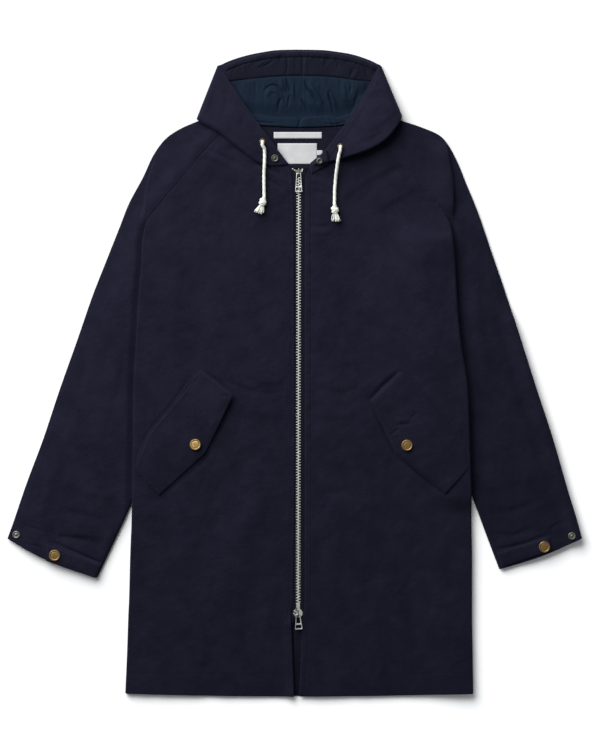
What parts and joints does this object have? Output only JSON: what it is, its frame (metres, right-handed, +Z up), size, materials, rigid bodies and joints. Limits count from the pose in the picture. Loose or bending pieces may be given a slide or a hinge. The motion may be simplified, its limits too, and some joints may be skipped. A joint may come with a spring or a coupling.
{
  "type": "hooded raincoat",
  "caption": "Mid-length hooded raincoat with raglan sleeves, a full two-way zip, slanted pocket flaps, strapped cuffs and drawcords, laid flat with its front up.",
  "frame": {"origin": "on the surface that the coat lies on, under the middle of its outline", "axes": "+X across the coat towards the sleeve on the viewer's right, +Y along it from hem to hood, +Z up off the surface, the way its front faces"},
  "size_m": [0.9456, 1.0652, 0.0216],
  "materials": {
    "shell": "matt tightly woven navy cotton",
    "facing": "inner face of the navy cotton, and navy tape",
    "lining": "thin teal blue lining with a slight sheen",
    "cord": "undyed white cotton cord",
    "label": "bare white woven label",
    "brass": "antique brass, worn satin",
    "nickel": "nickel plate, semi-bright"
  },
  "bodies": {
    "coat": {"back": "shell", "front_left": "shell", "front_right": "shell", "sleeve_left": "shell", "sleeve_right": "shell", "hood_left": "shell", "hood_right": "shell", "hood_facing": "facing", "hood_lining": "lining", "neck_facing": "facing", "label_strip": "label", "label_main": "label", "label_tab": "label", "zip_guard": "facing", "zip_tape_left": "facing", "zip_tape_right": "facing", "zip_teeth": "nickel", "slider_top": "nickel", "slider_bottom": "nickel", "pocket_flap_left": "shell", "pocket_flap_right": "shell", "pocket_snap_left": "brass", "pocket_snap_right": "brass", "cuff_strap_left": "shell", "cuff_strap_right": "shell", "cuff_snap_left": "brass", "cuff_snap_right": "brass", "cuff_stud_left": "nickel", "cuff_stud_right": "nickel", "throat_tab": "facing", "throat_socket": "nickel", "throat_stud": "nickel", "eyelet_left": "brass", "eyelet_right": "brass", "drawcord_left": "cord", "drawcord_right": "cord", "cord_end_left": "cord", "cord_end_right": "cord"},
    "top_tab": {"pull_top": "nickel"},
    "bottom_tab": {"pull_bottom": "nickel"}
  },
  "joints": [
    {"name": "top_tab_swing", "type": "hinge", "parent": "coat", "child": "top_tab", "pos_m": [0.00798, 0.328, 0.008], "axis": [-1, 0, 0], "range_deg": [0, 165]},
    {"name": "bottom_tab_swing", "type": "hinge", "parent": "coat", "child": "bottom_tab", "pos_m": [0.00631, -0.398, 0.008], "axis": [-1, 0, 0], "range_deg": [0, 165]}
  ]
}
